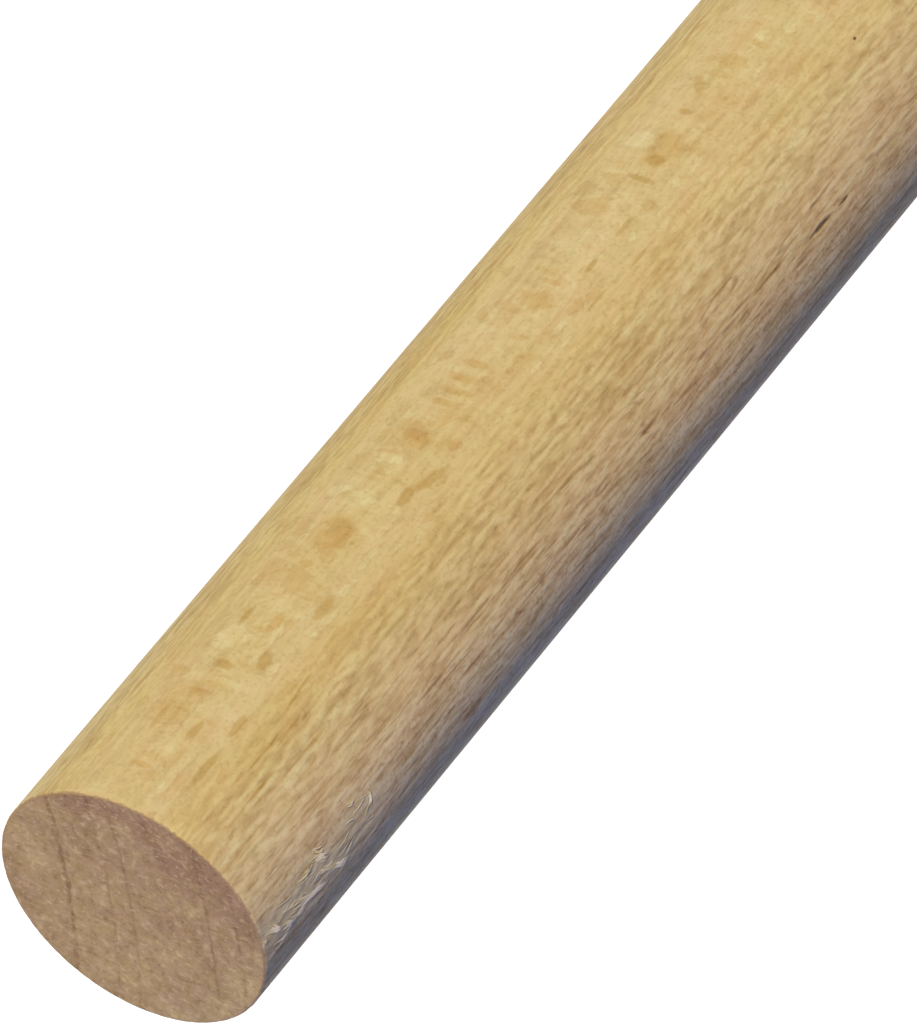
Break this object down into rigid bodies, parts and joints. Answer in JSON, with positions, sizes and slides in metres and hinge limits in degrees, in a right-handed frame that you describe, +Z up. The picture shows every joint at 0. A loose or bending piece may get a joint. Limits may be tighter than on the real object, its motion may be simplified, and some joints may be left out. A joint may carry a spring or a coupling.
{
  "type": "wooden dowel rod",
  "caption": "Plain round beech rod with sawn ends, for joints, pegs, rails and craft work.",
  "frame": {"origin": "centre of the square end, on the surface that the rod stands on", "axes": "+Z up along the rod's axis, to the sawn end; +X to the side where that saw cut is highest; -Y to the side with the ray flecks"},
  "size_m": [0.025, 0.025, 0.3004],
  "materials": {
    "beech": "bare sanded beech, matt"
  },
  "bodies": {
    "root": {"dowel_rod": "beech"}
  },
  "joints": []
}
